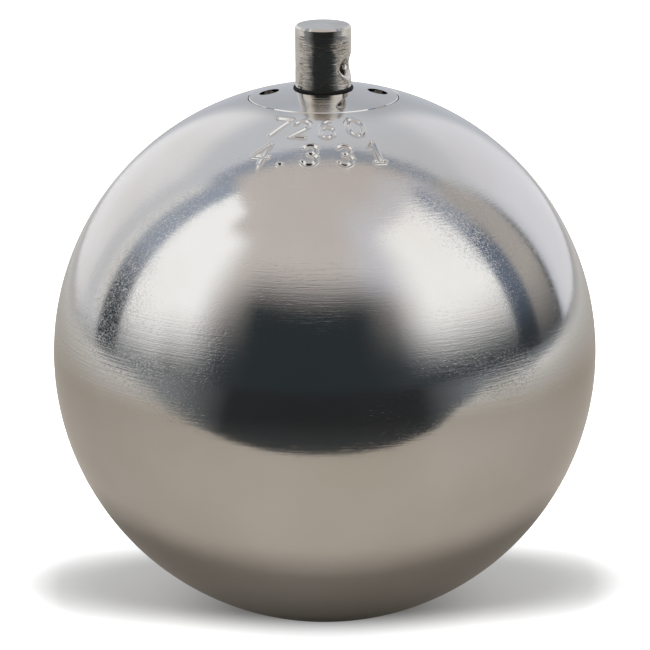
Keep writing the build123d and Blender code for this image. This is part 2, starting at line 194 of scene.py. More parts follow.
@dataclass(frozen=True)
class MetalFinish(Finish):
    """A metal surface with rings left by turning or lapping, a fine grain and scratches.

    Attributes:
        colour: sRGB hex colour of the clean metal.
        stain: sRGB hex colour that clouds it in patches.
        stain_size: Size of those patches, in mm.
        roughness: Lowest and highest roughness.
        ring_pitch: Spacing of the rings round the axis, in mm.
        ring_depth: Depth of the rings, in mm.
        ring_length: Length along a ring over which a mark comes and goes, in mm.
        grain_size: Size of the grain, in mm.
        grain_depth: Depth of the grain, in mm.
        scratches: Sets of scratches across the rings.
        wear_patch: Size of the patches in which rings and scratches are deep, in mm.
        wear_least: Share of their depth between the patches.
        wear_heights: Heights between which they are deep, in mm above the floor.
        wear_fade: Height over which they fade above and below, in mm.
        metallic: 1 for bare metal.
    """

    colour: str
    stain: str
    stain_size: float = 12.0
    roughness: tuple[float, float] = (0.1, 0.2)
    ring_pitch: float = 0.3
    ring_depth: float = 0.0
    ring_length: float = 8.0
    grain_size: float = 0.4
    grain_depth: float = 0.0
    scratches: tuple[Scratches, ...] = ()
    wear_patch: float = 12.0
    wear_least: float = 0.5
    wear_heights: Point = (-100.0, 300.0)
    wear_fade: float = 5.0
    metallic: float = 1.0

    def build(self) -> Material:
        """Builds the node material.

        Returns:
            The material.
        """
        material, tree = empty_material(self.name)
        place = add_node(tree, "TexCoord").outputs["Object"]
        place = add_node(tree, "VectorMath", {0: place, "Scale": 1 / MILLIMETRE}, operation="SCALE")
        millimetres = place.outputs[0]
        rings = self.ring_height(tree, millimetres)
        fine = {"Vector": millimetres, "Scale": 1 / self.grain_size, "Detail": 3.0}
        grain = add_node(tree, "TexNoise", fine).outputs[0]
        marks = add_node(tree, "Math", {0: rings, 1: self.ring_depth}, operation="MULTIPLY")
        marks = marks.outputs[0]
        for lay in self.scratches:
            marks = lay.cut(tree, millimetres, marks)
        worn = {0: marks, 1: self.wear(tree, millimetres)}
        marks = add_node(tree, "Math", worn, operation="MULTIPLY").outputs[0]
        relief = {0: grain, 1: self.grain_depth, 2: marks}
        height = add_node(tree, "Math", relief, operation="MULTIPLY_ADD").outputs[0]
        bump = add_node(tree, "Bump", {"Height": height, "Distance": MILLIMETRE, "Strength": 1.0})
        rough = add_node(tree, "Math", {0: rings, 1: grain}, operation="ADD").outputs[0]
        start, end = ROUGH_LEVELS
        low, high = self.roughness
        rough = {"Value": rough, "From Min": start, "From Max": end, "To Min": low, "To Max": high}
        roughness = add_node(tree, "MapRange", rough).outputs[0]
        coarse = {"Vector": millimetres, "Scale": 1 / self.stain_size, "Detail": 4.0}
        patches = add_node(tree, "TexNoise", coarse).outputs[0]
        start, end = STAIN_LEVELS
        patches = {"Value": patches, "From Min": start, "From Max": end}
        stained = add_node(tree, "MapRange", patches).outputs[0]
        colours = {"Factor": stained, "A": linear(self.colour), "B": linear(self.stain)}
        colour = add_node(tree, "Mix", colours, data_type="RGBA").outputs["Result"]
        surface = {
            "Base Color": colour,
            "Metallic": self.metallic,
            "Roughness": roughness,
            "Normal": bump.outputs[0],
        }
        shader = add_node(tree, "BsdfPrincipled", surface).outputs[0]
        add_node(tree, "OutputMaterial", {"Surface": shader})
        return material

    def wear(self, tree: Tree, millimetres: Socket) -> Socket:
        """Adds the share of their full depth that the marks have at each place.

        Args:
            tree: Tree of the material.
            millimetres: Place on the piece, in mm.

        Returns:
            The share, from 0 to 1.
        """
        coarse = {"Vector": millimetres, "Scale": 1 / self.wear_patch, "Detail": 2.0}
        patches = add_node(tree, "TexNoise", coarse).outputs[0]
        start, end = PATCH_LEVELS
        patches = {"Value": patches, "From Min": start, "From Max": end, "To Min": self.wear_least}
        share = add_node(tree, "MapRange", patches).outputs[0]
        height = add_node(tree, "SeparateXYZ", {0: millimetres}).outputs[2]
        low, high = self.wear_heights
        for start, end in ((low - self.wear_fade, low), (high + self.wear_fade, high)):
            fade = {"Value": height, "From Min": start, "From Max": end, "To Min": UNWORN_DEPTH}
            inside = add_node(tree, "MapRange", fade).outputs[0]
            share = add_node(tree, "Math", {0: share, 1: inside}, operation="MULTIPLY").outputs[0]
        return share

    def ring_height(self, tree: Tree, millimetres: Socket) -> Socket:
        """Adds the rings, which lie at one radius and height but come and go round the axis.

        Args:
            tree: Tree of the material.
            millimetres: Place on the piece, in mm.

        Returns:
            The rings as a value from 0 to 1.
        """
        flat = {0: millimetres, 1: (1.0, 1.0, 0.0)}
        flat = add_node(tree, "VectorMath", flat, operation="MULTIPLY").outputs[0]
        radius = add_node(tree, "VectorMath", {0: flat}, operation="LENGTH").outputs["Value"]
        axes = add_node(tree, "SeparateXYZ", {0: millimetres}).outputs
        skewed = {0: axes[1], 1: RING_SKEW, 2: axes[0]}
        along = add_node(tree, "Math", skewed, operation="MULTIPLY_ADD").outputs[0]
        section = add_node(tree, "CombineXYZ", {0: radius, 1: axes[2], 2: along}).outputs[0]
        across = 1 / self.ring_pitch
        stretch = {0: section, 1: (across, across, 1 / self.ring_length)}
        section = add_node(tree, "VectorMath", stretch, operation="MULTIPLY").outputs[0]
        noise = {"Vector": section, "Scale": 1.0, "Detail": 3.0}
        return add_node(tree, "TexNoise", noise).outputs[0]


@dataclass(frozen=True)
class RubberFinish(Finish):
    """Moulded rubber: matt, with a fine pebble and a bloom that greys it in patches.

    Attributes:
        colour: sRGB hex colour.
        bloom: sRGB hex colour of the bloom.
        roughness: Roughness.
        pebble: Size of the pebble, in mm.
        pebble_depth: Its depth, in mm.
        bloom_size: Size of the patches of bloom, in mm.
    """

    colour: str
    bloom: str
    roughness: float
    pebble: float
    pebble_depth: float = 0.03
    bloom_size: float = 10 / 3

    def build(self) -> Material:
        """Builds the node material.

        Returns:
            The material.
        """
        material, tree = empty_material(self.name)
        place = add_node(tree, "TexCoord").outputs["Object"]
        sizes = (self.pebble * MILLIMETRE, self.bloom_size * MILLIMETRE)
        pebble, patches = (
            add_node(tree, "TexNoise", {"Vector": place, "Scale": 1 / size, "Detail": 3.0})
            for size in sizes
        )
        colours = {"Factor": patches.outputs[0], "A": linear(self.colour), "B": linear(self.bloom)}
        colour = add_node(tree, "Mix", colours, data_type="RGBA").outputs["Result"]
        depth = self.pebble_depth * MILLIMETRE
        relief = {"Height": pebble.outputs[0], "Distance": depth, "Strength": 1.0}
        surface = {
            "Base Color": colour,
            "Roughness": self.roughness,
            "IOR": RUBBER_IOR,
            "Normal": add_node(tree, "Bump", relief).outputs[0],
        }
        shader = add_node(tree, "BsdfPrincipled", surface).outputs[0]
        add_node(tree, "OutputMaterial", {"Surface": shader})
        return material


# Stainless steel ball, turned, then belt-polished and buffed round its axis. It mirrors its
# surroundings with crisp edges, and where bright meets dark the last polishing lines show along
# the circles round the axis, crossed by stray scratches. Real polishing lines are a few
# hundredths of a millimetre apart, too fine for a view of the whole ball, so they are drawn at
# a third of a millimetre.
POLISHED_STAINLESS = MetalFinish(
    name="stainless_steel_polished",
    colour="#CBCAC8",
    stain="#C4C1BC",
    stain_size=30.0,
    roughness=(0.06, 0.14),
    ring_pitch=0.33,
    ring_depth=0.022,
    ring_length=9.0,
    grain_size=0.5,
    grain_depth=0.001,
    scratches=(
        Scratches((0.0, 0.0, 0.0), 0.28, 7.0, 0.016, 0.58),
        Scratches((0.0, 55.0, 20.0), 0.30, 6.0, 0.012, 0.60),
        Scratches((0.0, -65.0, -30.0), 0.30, 5.0, 0.012, 0.60),
        Scratches((0.0, 80.0, 60.0), 0.30, 5.0, 0.012, 0.62),
    ),
    wear_patch=26.0,
    wear_least=0.25,
    wear_heights=(58.0, 97.0),
    wear_fade=9.0,
)

# Stainless steel cap, turned and buffed brighter than the ball, so that it mirrors the spindle.
BUFFED_STAINLESS = MetalFinish(
    name="stainless_steel_buffed",
    colour="#CDCCCA",
    stain="#C7C5C1",
    stain_size=9.0,
    roughness=(0.04, 0.09),
    ring_pitch=0.25,
    ring_depth=0.0008,
    ring_length=6.0,
)

# Stainless steel spindle, turned on a lathe and rubbed by the wire's loop. The tool left rings
# at a feed of about a tenth of a millimetre, drawn at about half a millimetre so that they
# show, and they smear reflections up and down into streaks. They are deepest at mid height.
TURNED_STAINLESS = MetalFinish(
    name="stainless_steel_turned",
    colour="#CBC7C1",
    stain="#B9B1A6",
    stain_size=4.0,
    roughness=(0.05, 0.13),
    ring_pitch=0.45,
    ring_depth=0.2,
    ring_length=8.0,
    scratches=(Scratches((0.0, 0.0, 35.0), 0.25, 3.0, 0.01, 0.6),),
    wear_patch=4.0,
    wear_least=0.5,
    wear_heights=(111.8, 119.4),
    wear_fade=1.6,
)

# Bearing steel, through-hardened and ground: bright, cool grey, with hair-fine grinding rings.
GROUND_BEARING_STEEL = MetalFinish(
    name="bearing_steel_ground",
    colour="#B9BABC",
    stain="#A9A9AA",
    roughness=(0.12, 0.24),
    ring_pitch=0.15,
    ring_depth=0.002,
)

# Bearing balls, lapped to a mirror with no lay at all.
LAPPED_BEARING_STEEL = MetalFinish(
    name="bearing_steel_lapped",
    colour="#C2C3C5",
    stain="#B9BABB",
    stain_size=3.0,
    roughness=(0.03, 0.07),
    grain_size=0.3,
    grain_depth=0.0003,
)

# Low-carbon steel strip, cold-rolled and pressed: dull, with a fine pebble from the rolls.
PRESSED_STRIP = MetalFinish(
    name="steel_strip_pressed",
    colour="#A8A7A4",
    stain="#918F8A",
    stain_size=5.0,
    roughness=(0.28, 0.42),
    grain_size=0.2,
    grain_depth=0.008,
    scratches=(Scratches((0.0, 0.0, 15.0), 0.15, 4.0, 0.003),),
)

# Stainless steel weld bead, ground flush and polished with the ball. It keeps a trace of the
# bead's straw-coloured heat tint in its stain.
WELD_STAINLESS = replace(
    POLISHED_STAINLESS,
    name="stainless_steel_weld_dressed",
    colour="#CBCAC7",
    stain="#C4C0B9",
)

# Spring steel, punched and phosphated: nearly black, with a crystalline bloom.
PHOSPHATED_SPRING_STEEL = MetalFinish(
    name="spring_steel_phosphated",
    colour="#3D3B39",
    stain="#4E4B48",
    stain_size=2.0,
    roughness=(0.42, 0.6),
    grain_size=0.12,
    grain_depth=0.01,
    metallic=0.75,
)

# Cast lead: soft blue-grey, dull with oxide, dimpled and streaked where it froze on the shell.
CAST_LEAD = MetalFinish(
    name="lead_cast",
    colour="#7D8086",
    stain="#5F6064",
    stain_size=9.0,
    roughness=(0.42, 0.68),
    grain_size=1.8,
    grain_depth=0.16,
    scratches=(Scratches((0.0, 75.0, 0.0), 1.2, 20.0, 0.05),),
)

# Zinc-plated steel plug: bright with a faint blue passivation and turning rings.
PLATED_PLUG = MetalFinish(
    name="steel_zinc_plated",
    colour="#B4B8BD",
    stain="#A3A59F",
    stain_size=4.0,
    roughness=(0.2, 0.34),
    ring_depth=0.006,
)

# Annealed copper washer, punched from sheet and darkened by handling.
ANNEALED_COPPER = MetalFinish(
    name="copper_annealed",
    colour="#C47A55",
    stain="#8E5239",
    stain_size=4.0,
    roughness=(0.24, 0.42),
    grain_size=0.3,
    grain_depth=0.006,
)

# Nitrile rubber of the dust seal, moulded: black, darkened further with painted shade, hardly
# shining, greyed by wax bloom.
NITRILE_RUBBER = RubberFinish(
    name="nitrile_rubber_with_painted_shade",
    # Near black: the rubber's own black with the painted shade of the gap round the spindle.
    colour="#060606",
    bloom="#0D0D0D",
    roughness=0.9,
    pebble=0.25,
)


class Slot(Enum):
    """Material slots of the record that show in the photograph."""

    BALL = "ball_steel"
    CAP = "cap_steel"
    SPINDLE = "spindle_steel"


SLOT_FINISHES: dict[Slot, MetalFinish] = {
    Slot.BALL: POLISHED_STAINLESS,
    Slot.CAP: BUFFED_STAINLESS,
    Slot.SPINDLE: TURNED_STAINLESS,
}


def make_object(
    name: str,
    vertices: np.ndarray,
    faces: Sequence[Sequence[int]],
    material: Material,
    smooth: bool = True,
) -> Thing:
    """Makes a mesh object from vertices in millimetres.

    Args:
        name: Name of the object and its mesh.
        vertices: Vertices, one row each, in mm.
        faces: Vertex numbers of each face.
        material: Material of every face.
        smooth: Whether the faces are shaded smooth.

    Returns:
        The object, linked to the scene.
    """
    mesh = bpy.data.meshes.new(name)
    mesh.from_pydata((vertices * MILLIMETRE).tolist(), [], faces)
    mesh.polygons.foreach_set("use_smooth", [smooth] * len(mesh.polygons))
    mesh.materials.append(material)
    mesh.update()
    thing = bpy.data.objects.new(name, mesh)
    bpy.context.scene.collection.objects.link(thing)
    return thing


@dataclass
class Turning:
    """A closed section turned round the Z axis.

    Attributes:
        name: Name of the piece.
        runs: Runs of the section in order, each a list of (radius, height) points in mm, from
            the outside upwards and round anticlockwise. A run starts where the last one ends,
            and the edge between two runs is sharp.
        azimuths: Azimuth of each column of vertices, in degrees.
        axis_gap: Radius below which a point lies on the axis, in mm.
    """

    name: str
    runs: list[list[Point]]
    azimuths: np.ndarray
    axis_gap: float = 1e-6

    def rings(self) -> tuple[np.ndarray, set[int]]:
        """Joins the runs into one ring of section points.

        Returns:
            The points, and the numbers of those where the surface has a sharp edge.
        """
        points: list[Point] = []
        sharp: set[int] = set()
        for run in self.runs:
            sharp.add(len(points))
            points.extend(run[:-1])
        return np.array(points), sharp

    def grid(self, points: np.ndarray) -> np.ndarray:
        """Places every section point at every azimuth.

        Args:
            points: Section points, in mm.

        Returns:
            Vertices, ring by ring, in mm.
        """
        turn = np.radians(self.azimuths)
        radius = points[:, :1]
        x = radius * np.cos(turn)
        y = radius * np.sin(turn)
        z = np.repeat(points[:, 1:], len(turn), axis=1)
        return np.stack([x, y, z], axis=-1)

    def build(self, material: Material, grid: np.ndarray | None = None) -> Thing:
        """Turns the section into a mesh object.

        Args:
            material: Material of the piece.
            grid: Vertices by ring and column, if they aren't the plain turned ones.

        Returns:
            The object.
        """
        points, sharp = self.rings()
        if grid is None:
            grid = self.grid(points)
        rings, columns = grid.shape[:2]
        here = np.arange(rings)[:, None] * columns + np.arange(columns)
        right = np.roll(here, -1, axis=1)
        up = np.roll(here, -1, axis=0)
        up_right = np.roll(right, -1, axis=0)
        quads = np.stack([here, right, up_right, up], axis=-1).reshape(-1, 4)
        on_axis = points[:, 0] < self.axis_gap
        ring_of = quads // columns
        dead = on_axis[ring_of[:, 0]] & on_axis[ring_of[:, 2]]
        thing = make_object(self.name, grid.reshape(-1, 3), quads[~dead].tolist(), material)
        self.mark_sharp(thing.data, sharp, columns)
        self.close_poles(thing.data)
        return thing

    @staticmethod
    def mark_sharp(mesh: bpy.types.Mesh, sharp: Iterable[int], columns: int) -> None:
        """Marks the edges along some rings as sharp.

        Args:
            mesh: Mesh made ring by ring.
            sharp: Numbers of the rings.
            columns: Number of vertices in a ring.
        """
        ends = np.zeros(len(mesh.edges) * 2, np.int64)
        mesh.edges.foreach_get("vertices", ends)
        rings = ends.reshape(-1, 2) // columns
        marked = (rings[:, 0] == rings[:, 1]) & np.isin(rings[:, 0], list(sharp))
        attribute = mesh.attributes.new("sharp_edge", "BOOLEAN", "EDGE")
        attribute.data.foreach_set("value", marked)

    @staticmethod
    def close_poles(mesh: bpy.types.Mesh) -> None:
        """Merges the vertices of a ring that has shrunk to a point on the axis.

        Args:
            mesh: Mesh made ring by ring.
        """
        near, merged = 1e-8, 1e-7  # in m
        work = bmesh.new()
        work.from_mesh(mesh)
        poles = [v for v in work.verts if math.hypot(v.co.x, v.co.y) < near]
        if poles:
            bmesh.ops.remove_doubles(work, verts=poles, dist=merged)
            bmesh.ops.dissolve_degenerate(work, edges=work.edges, dist=near)
        loose = [v for v in work.verts if not v.link_faces]
        bmesh.ops.delete(work, geom=loose, context="VERTS")
        work.to_mesh(mesh)
        work.free()


def arc(centre: Point, radii: Point, start: float, end: float, count: int) -> list[Point]:
    """Points along an arc of an ellipse.

    Args:
        centre: Its centre.
        radii: Its half width and half height.
        start: Angle of the first point, in degrees anticlockwise from the right.
        end: Angle of the last point.
        count: Number of steps.

    Returns:
        The points.
    """
    turns = [math.radians(start + (end - start) * i / count) for i in range(count + 1)]
    return [(centre[0] + radii[0] * math.cos(t), centre[1] + radii[1] * math.sin(t)) for t in turns]


# Strokes of the punched numerals, in a box one wide and one high.
NUMERAL_STROKES: dict[str, list[list[Point]]] = {
    "0": [arc((0.5, 0.5), (0.42, 0.5), 0, 360, 32)],
    "1": [[(0.22, 0.78), (0.5, 1.0), (0.5, 0.0)], [(0.25, 0.0), (0.75, 0.0)]],
    "2": [arc((0.5, 0.7), (0.38, 0.3), 170, -35, 14) + [(0.1, 0.0), (0.92, 0.0)]],
    "3": [
        arc((0.46, 0.76), (0.36, 0.24), 150, -90, 14),
        arc((0.46, 0.27), (0.42, 0.27), 90, -150, 16),
    ],
    "4": [[(0.7, 0.0), (0.7, 1.0), (0.08, 0.32), (0.95, 0.32)]],
    "6": [
        arc((0.5, 0.3), (0.38, 0.3), 0, 360, 24),
        arc((0.62, 0.34), (0.5, 0.66), 180, 95, 10),
    ],
    "7": [[(0.08, 1.0), (0.92, 1.0), (0.36, 0.0)]],
    ".": [[(0.45, 0.0), (0.55, 0.0)]],
}


@dataclass(frozen=True)
class PunchedRow:
    """A row of plain numerals, punched one by one along a circle round the pole.

    Attributes:
        numerals: The numerals.
        polar_angle: Angle of the row's middle from the pole, in degrees.
        azimuths: Azimuth of each numeral from the front, in degrees.
    """

    numerals: str
    polar_angle: float
    azimuths: tuple[float, ...]


@dataclass
class Punches:
    """Hand punches, which cut a groove and raise a burr along both of its sides.

    Attributes:
        rows: Rows that were punched.
        height: Height of a numeral, in mm.
        width: Width of a numeral, in mm.
        groove: Half width of the groove, in mm.
        depth: Its depth, in mm.
        burr: Width of the burr, in mm.
        burr_height: Its height, in mm.
        sway: Greatest turn of a numeral by an unsteady hand, in degrees.
        slip: Greatest slip of a numeral up or down, in mm.
        blows: Lightest and hardest blow, as a share of the depth.
        seed: Seed of that unsteadiness.
    """

    rows: tuple[PunchedRow, ...] = (
        PunchedRow("7260", 22.3, (-25.2, -12.6, 2.0, 17.4)),
        PunchedRow("4.331", 30.6, (-25.4, -16.2, -5.4, 8.6, 21.8)),
    )
    height: float = 5.6
    width: float = 3.5
    groove: float = 0.36
    depth: float = 0.3
    burr: float = 0.4
    burr_height: float = 0.11
    sway: float = 4.0
    slip: float = 0.25
    blows: Point = (0.7, 1.1)
    seed: int = 7

    def lift(self, radius: float, polar: np.ndarray, azimuth: np.ndarray) -> np.ndarray:
        """Height of the punched surface above the plain ball.

        Args:
            radius: Radius of the ball, in mm.
            polar: Polar angle of each point, in radians.
            azimuth: Azimuth of each point from the front, in radians.

        Returns:
            Height of each point, in mm.
        """
        hand = random.Random(self.seed)
        result = np.zeros(polar.shape)
        for row in self.rows:
            for numeral, place in zip(row.numerals, row.azimuths):
                turn = math.radians(hand.uniform(-self.sway, self.sway))
                slip = hand.uniform(-self.slip, self.slip)
                blow = hand.uniform(*self.blows)
                across = radius * np.sin(polar) * (azimuth - math.radians(place))
                up = radius * (math.radians(row.polar_angle) - polar) + slip
                u = across * math.cos(turn) + up * math.sin(turn) + self.width / 2
                v = up * math.cos(turn) - across * math.sin(turn) + self.height / 2
                distance = self.distance(NUMERAL_STROKES[numeral], u, v)
                result += blow * self.profile(distance)
        return result

    def distance(self, strokes: list[list[Point]], u: np.ndarray, v: np.ndarray) -> np.ndarray:
        """Distance of each point to the nearest stroke of a numeral.

        Args:
            strokes: The numeral's strokes.
            u: Place across the numeral, in mm.
            v: Place up the numeral, in mm.

        Returns:
            The distances, in mm.
        """
        nearest = np.full(u.shape, np.inf)
        for stroke in strokes:
            line = [(x * self.width, y * self.height) for x, y in stroke]
            for (x0, y0), (x1, y1) in zip(line, line[1:]):
                dx, dy = x1 - x0, y1 - y0
                along = ((u - x0) * dx + (v - y0) * dy) / (dx * dx + dy * dy)
                along = np.clip(along, 0, 1)
                gap = np.hypot(u - x0 - along * dx, v - y0 - along * dy)
                nearest = np.minimum(nearest, gap)
        return nearest

    def profile(self, distance: np.ndarray) -> np.ndarray:
        """Height across a groove and its burrs.

        Args:
            distance: Distances from the groove's middle, in mm.

        Returns:
            The heights, in mm.
        """
        groove = -self.depth * np.cos(np.clip(distance / self.groove, 0, 1) * math.pi / 2)
        past = np.clip((distance - self.groove) / self.burr, 0, 1)
        return groove + self.burr_height * np.sin(past * math.pi) ** 2


@dataclass
class HollowBall:
    """The ball: two half shells and the weld bead between them, ground and polished as one.

    Attributes:
        radius: Radius of the ball, in mm.
        wall: Thickness of the shells.
        column_step: Width of a column of faces, in degrees.
        outside_step: Height of a face outside, in degrees.
        inside_step: Height of a face inside, in degrees.
        weld_step: Height of a face of the weld bead, in degrees.
        mouth_step: Height of a face between the numerals and the mouth, in degrees.
        hair: Height of the narrow faces that keep an edge crisp, in degrees.
        fine_azimuths: Azimuths from the front between which the numerals are punched.
        fine_polar: Polar angles between which they are punched.
        fine_step: Size of the faces there, in mm.
        weld_half_width: Half the width of the weld bead, outside.
        lip_height: Height of the lower shell's lip above the seam.
        lip_wall: Its thickness.
        lip_gap: Gap between the lip and the upper shell.
        weld_root_face: Width of the level faces of the shells under the weld bead.
        mouth_chamfer: Chamfer of the mouth.
        boss_radius: Radius of the boss inside, which holds the bearing's seat.
        boss_fillet: Fillet between the boss and the inside of the shell.
        boss_steps: Number of steps of that fillet.
        bore: Section of the bore from the mouth down, in mm.
        punches: The numerals' punches.
    """

    radius: float = 55.0
    wall: float = 5.5
    column_step: float = 2.0
    outside_step: float = 1.5
    inside_step: float = 3.0
    weld_step: float = 0.8
    mouth_step: float = 0.6
    hair: float = 0.03
    fine_azimuths: Point = (-31.0, 29.0)
    fine_polar: Point = (18.6, 34.4)
    fine_step: float = 0.105
    weld_half_width: float = 2.0
    lip_height: float = 2.5
    lip_wall: float = 2.0
    lip_gap: float = 0.05
    weld_root_face: float = 1.0
    mouth_chamfer: float = 0.15
    boss_radius: float = 20.0
    boss_fillet: float = 4.0
    boss_steps: int = 8
    bore: tuple[Point, ...] = (
        (15.12, 101.115),
        (14.02, 101.115),
        (14.02, 93.415),
        (11.7, 93.415),
        (11.7, 86.915),
        (8.0, 86.915),
        (8.0, 77.715),
        (5.5, 77.715),
        (5.5, 75.215),
    )
    punches: Punches = field(default_factory=Punches)

    def on_sphere(self, radius: float, polar_angles: Iterable[float]) -> list[Point]:
        """Section points on a sphere about the ball's centre.

        Args:
            radius: Radius of the sphere, in mm.
            polar_angles: Angles from the upper pole, in degrees.

        Returns:
            The points.
        """
        angles = [math.radians(a) for a in polar_angles]
        return [(radius * math.sin(a), self.radius + radius * math.cos(a)) for a in angles]

    def polar_of(self, radius: float, height: float) -> float:
        """Polar angle in degrees of a point of a sphere, at a height above the floor in mm."""
        return math.degrees(math.acos((height - self.radius) / radius))

    def steps(self, start: float, end: float, size: float) -> list[float]:
        """Even steps between two angles, both included, and a hair's step next to each end.

        Args:
            start: First angle, in degrees.
            end: Last angle.
            size: Greatest size of a step.

        Returns:
            The angles.
        """
        count = max(2, math.ceil(abs(end - start) / size))
        hair = self.hair if end > start else -self.hair
        inner = [start + (end - start) * i / count for i in range(1, count)]
        return [start, start + hair, *inner, end - hair, end]

    def azimuths(self) -> np.ndarray:
        """Azimuths of the columns, close together where the numerals are punched.

        Returns:
            The azimuths, in degrees.
        """
        low, high = self.fine_azimuths
        row = math.radians(self.punches.rows[-1].polar_angle)
        step = math.degrees(self.fine_step / (self.radius * math.sin(row)))
        fine = np.linspace(low, high, math.ceil((high - low) / step) + 1)
        coarse_count = math.ceil((360 - high + low) / self.column_step)
        coarse = np.linspace(high, low + 360, coarse_count + 1)[1:-1]
        return np.concatenate([fine, coarse]) + FRONT

    def upper_half(self, material: Material) -> Thing:
        """Builds the upper half shell with its mouth, its boss and the punched numerals.

        Args:
            material: Material of the shell.

        Returns:
            The piece.
        """
        seam = self.polar_of(self.radius, self.radius + self.weld_half_width)
        low, high = self.fine_polar
        mouth_radius, boss_foot = self.bore[0][0], self.bore[-1][1]
        mouth_top = math.sqrt(self.radius**2 - mouth_radius**2) + self.radius
        mouth = math.degrees(math.asin((mouth_radius + self.mouth_chamfer) / self.radius))
        fine_count = math.ceil(math.radians(high - low) * self.radius / self.fine_step)
        fine = [high + (low - high) * i / fine_count for i in range(fine_count + 1)]
        below = self.steps(seam, high, self.outside_step)[:-2]
        above = self.steps(low, mouth, self.mouth_step)[2:]
        outside = self.on_sphere(self.radius, below + fine + above)
        inner = self.radius - self.wall
        lip = self.polar_of(inner, self.radius + self.lip_height + self.lip_gap)
        blend = self.fillet_points(inner)
        under = self.polar_of(inner, blend[-1][1])
        inside = self.on_sphere(inner, self.steps(under, lip, self.inside_step))
        lip_radius = inner + self.lip_wall + self.lip_gap
        root = (lip_radius + self.weld_root_face, self.radius)
        shoulder = (self.boss_radius, boss_foot)
        corners = [(mouth_radius, mouth_top - self.mouth_chamfer), *self.bore, shoulder]
        runs = [outside, [outside[-1], corners[0]]]
        runs += [[a, b] for a, b in zip(corners, corners[1:])]
        runs += [
            [shoulder, *blend],
            [blend[-1], *inside[1:]],
            [inside[-1], (lip_radius, inside[-1][1])],
            [(lip_radius, inside[-1][1]), (lip_radius, self.radius)],
            [(lip_radius, self.radius), root],
            [root, outside[0]],
        ]
        turning = Turning("upper_half_shell", runs, self.azimuths())
        points, _ = turning.rings()
        grid = turning.grid(points)
        count = len(outside)
        polar = np.radians([self.polar_of(self.radius, z) for _, z in outside])[:, None]
        from_front = np.radians(turning.azimuths - FRONT)
        from_front = (from_front + math.pi) % (2 * math.pi) - math.pi
        angles = np.broadcast_arrays(polar, from_front[None, :])
        lift = self.punches.lift(self.radius, angles[0], angles[1])
        centre = np.array([0.0, 0.0, self.radius])
        grid[:count] = centre + (grid[:count] - centre) * (1 + lift[..., None] / self.radius)
        return turning.build(material, grid)

    def fillet_points(self, inner: float) -> list[Point]:
        """Round of the boss where it meets the inside of the shell.

        Args:
            inner: Radius of the inside of the shell, in mm.

        Returns:
            Section points from the boss to the shell, in mm.
        """
        size = self.boss_fillet
        x = self.boss_radius + size
        z = self.radius + math.sqrt((inner - size) ** 2 - x**2)
        end = math.degrees(math.atan2(z - self.radius, x))
        return arc((x, z), (size, size), 180, end, self.boss_steps)

    def lower_half(self, material: Material) -> Thing:
        """Builds the lower half shell with the lip that centres the upper one.

        Args:
            material: Material of the shell.

        Returns:
            The piece.
        """
        seam = self.polar_of(self.radius, self.radius - self.weld_half_width)
        outside = self.on_sphere(self.radius, self.steps(180.0, seam, self.outside_step))
        inner = self.radius - self.wall
        lip_radius = inner + self.lip_wall
        lip_top = self.radius + self.lip_height
        lip = self.polar_of(inner, lip_top)
        inside = self.on_sphere(inner, self.steps(lip, 180.0, self.inside_step))
        root = (lip_radius + self.lip_gap + self.weld_root_face, self.radius)
        corners = [outside[-1], root, (lip_radius, self.radius), (lip_radius, lip_top), inside[0]]
        runs = [outside]
        runs += [[a, b] for a, b in zip(corners, corners[1:])]
        runs += [inside, [inside[-1], outside[0]]]
        return Turning("lower_half_shell", runs, self.azimuths()).build(material)

    def weld(self, material: Material) -> Thing:
        """Builds the weld bead, flush with the ball.

        Args:
            material: Material of the bead.

        Returns:
            The piece.
        """
        top = self.polar_of(self.radius, self.radius + self.weld_half_width)
        face = self.on_sphere(self.radius, self.steps(180 - top, top, self.weld_step))
        inner = self.radius - self.wall
        root = (inner + self.lip_wall + self.lip_gap + self.weld_root_face, self.radius)
        runs = [face, [face[-1], root], [root, face[0]]]
        return Turning("weld_bead", runs, self.azimuths()).build(material)

    def build(self) -> None:
        """Builds the ball in place of its CAD nodes."""
        steel = SLOT_FINISHES[Slot.BALL].material()
        made = (
            (self.upper_half(steel), "upper_shell"),
            (self.lower_half(steel), "lower_shell"),
            (self.weld(WELD_STAINLESS.material()), "seam_weld"),
        )
        for piece, node in made:
            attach(piece, "head")
            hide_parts(node)
            log.info("%s stands for %s, %d faces", piece.name, node, len(piece.data.polygons))


@dataclass
class CadGroup:
    """CAD nodes that keep their own shape and get a finish.

    Attributes:
        finishes: Finish of each node.
    """

    finishes: dict[str, Finish]

    def build(self) -> None:
        """Gives each node its material."""
        for node, finish in self.finishes.items():
            material = finish.material()
            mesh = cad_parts[node].data
            mesh.materials.clear()
            mesh.materials.append(material)
            log.info("%s: %s in %s", type(self).__name__, node, material.name)


@dataclass
class Filling(CadGroup):
    """The lead filling, the plug that closes its hole and the washer under the plug."""

    finishes: dict[str, Finish] = field(
        default_factory=lambda: {
            "lead_core": CAST_LEAD,
            "filler_plug": PLATED_PLUG,
            "plug_washer": ANNEALED_COPPER,
        }
    )


@dataclass
class Bearing(CadGroup):
    """The deep-groove ball bearing that the spindle turns in."""

    finishes: dict[str, Finish] = field(
        default_factory=lambda: {
            "bearing_outer_ring": GROUND_BEARING_STEEL,
            "bearing_inner_ring": GROUND_BEARING_STEEL,
            "bearing_balls": LAPPED_BEARING_STEEL,
            "cage_upper": PRESSED_STRIP,
            "cage_lower": PRESSED_STRIP,
            "cage_rivets": PRESSED_STRIP,
            "upper_shield": PRESSED_STRIP,
            "lower_shield": PRESSED_STRIP,
        }
    )


